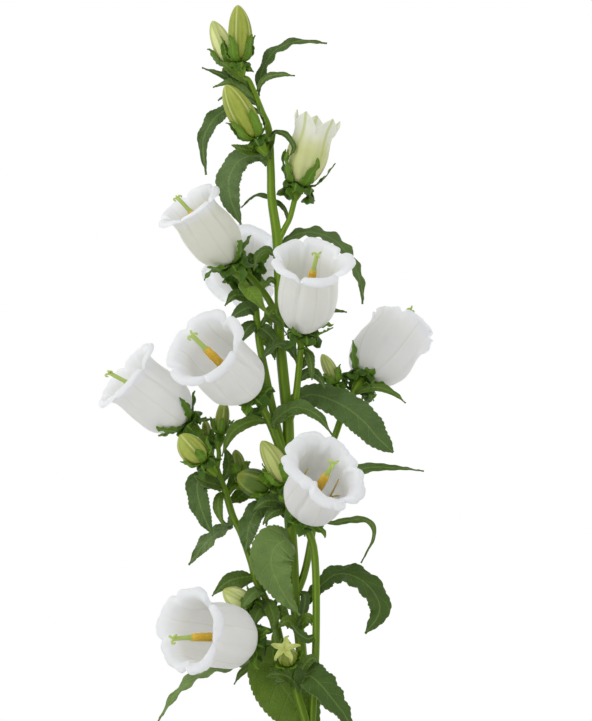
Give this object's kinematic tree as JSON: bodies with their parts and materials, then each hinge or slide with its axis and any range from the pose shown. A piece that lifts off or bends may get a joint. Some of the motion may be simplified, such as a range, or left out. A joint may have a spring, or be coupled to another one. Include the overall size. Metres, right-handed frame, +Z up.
{
  "type": "bellflower bunch in vase",
  "caption": "Bunch of leafy white bellflower stems with open cup-shaped bells, ribbed buds and toothed leaves, standing in water in a plain turned stoneware vase",
  "frame": {"origin": "middle of the vase's foot, on the surface it stands on", "axes": "+Z up along the vase's axis; -Y is the front, from which the bunch is seen best; +X is to the right in that view"},
  "size_m": [0.1862, 0.155, 0.6147],
  "materials": {
    "vase_stoneware": "satin",
    "vase_water": "polished",
    "stem_green": "satin",
    "leaf_green": "satin",
    "calyx_green": "matte",
    "bud_green": "satin",
    "white_corolla": "matte",
    "cream_corolla": "matte",
    "pollen_style": "matte"
  },
  "bodies": {
    "root": {"vase": "vase_stoneware", "water": "vase_water", "stem_main": "stem_green", "stem_left": "stem_green", "stem_right": "stem_green", "bell_high_left": "white_corolla", "bell_high_left_calyx": "calyx_green", "bell_high_left_style": "pollen_style", "bell_back": "white_corolla", "bell_back_calyx": "calyx_green", "bell_back_style": "pollen_style", "bell_middle": "white_corolla", "bell_middle_calyx": "calyx_green", "bell_middle_style": "pollen_style", "bell_left": "white_corolla", "bell_left_calyx": "calyx_green", "bell_left_style": "pollen_style", "bell_far_left": "white_corolla", "bell_far_left_calyx": "calyx_green", "bell_far_left_style": "pollen_style", "bell_right": "white_corolla", "bell_right_calyx": "calyx_green", "bell_right_style": "pollen_style", "bell_front": "white_corolla", "bell_front_calyx": "calyx_green", "bell_front_style": "pollen_style", "bell_low": "white_corolla", "bell_low_calyx": "calyx_green", "bell_low_style": "pollen_style", "bell_half_open": "cream_corolla", "bell_half_open_calyx": "calyx_green", "bud_top": "bud_green", "bud_top_left": "bud_green", "bud_high": "bud_green", "bud_far_left": "bud_green", "bud_steep": "bud_green", "bud_level": "bud_green", "bud_small": "bud_green", "bud_hidden": "bud_green", "bud_right": "bud_green", "bud_low": "bud_green", "bud_star": "bud_green", "bud_dark": "bud_green", "leaf_top": "leaf_green", "leaf_top_left": "leaf_green", "leaf_high_left": "leaf_green", "leaf_high_right": "leaf_green", "leaf_bright": "leaf_green", "leaf_saddle": "leaf_green", "leaf_big": "leaf_green", "leaf_middle": "leaf_green", "leaf_left": "leaf_green", "leaf_grey": "leaf_green", "leaf_hanging": "leaf_green", "leaf_central": "leaf_green", "leaf_right": "leaf_green", "leaf_low_right": "leaf_green", "leaf_low_left": "leaf_green", "leaf_lowest": "leaf_green"}
  },
  "joints": []
}
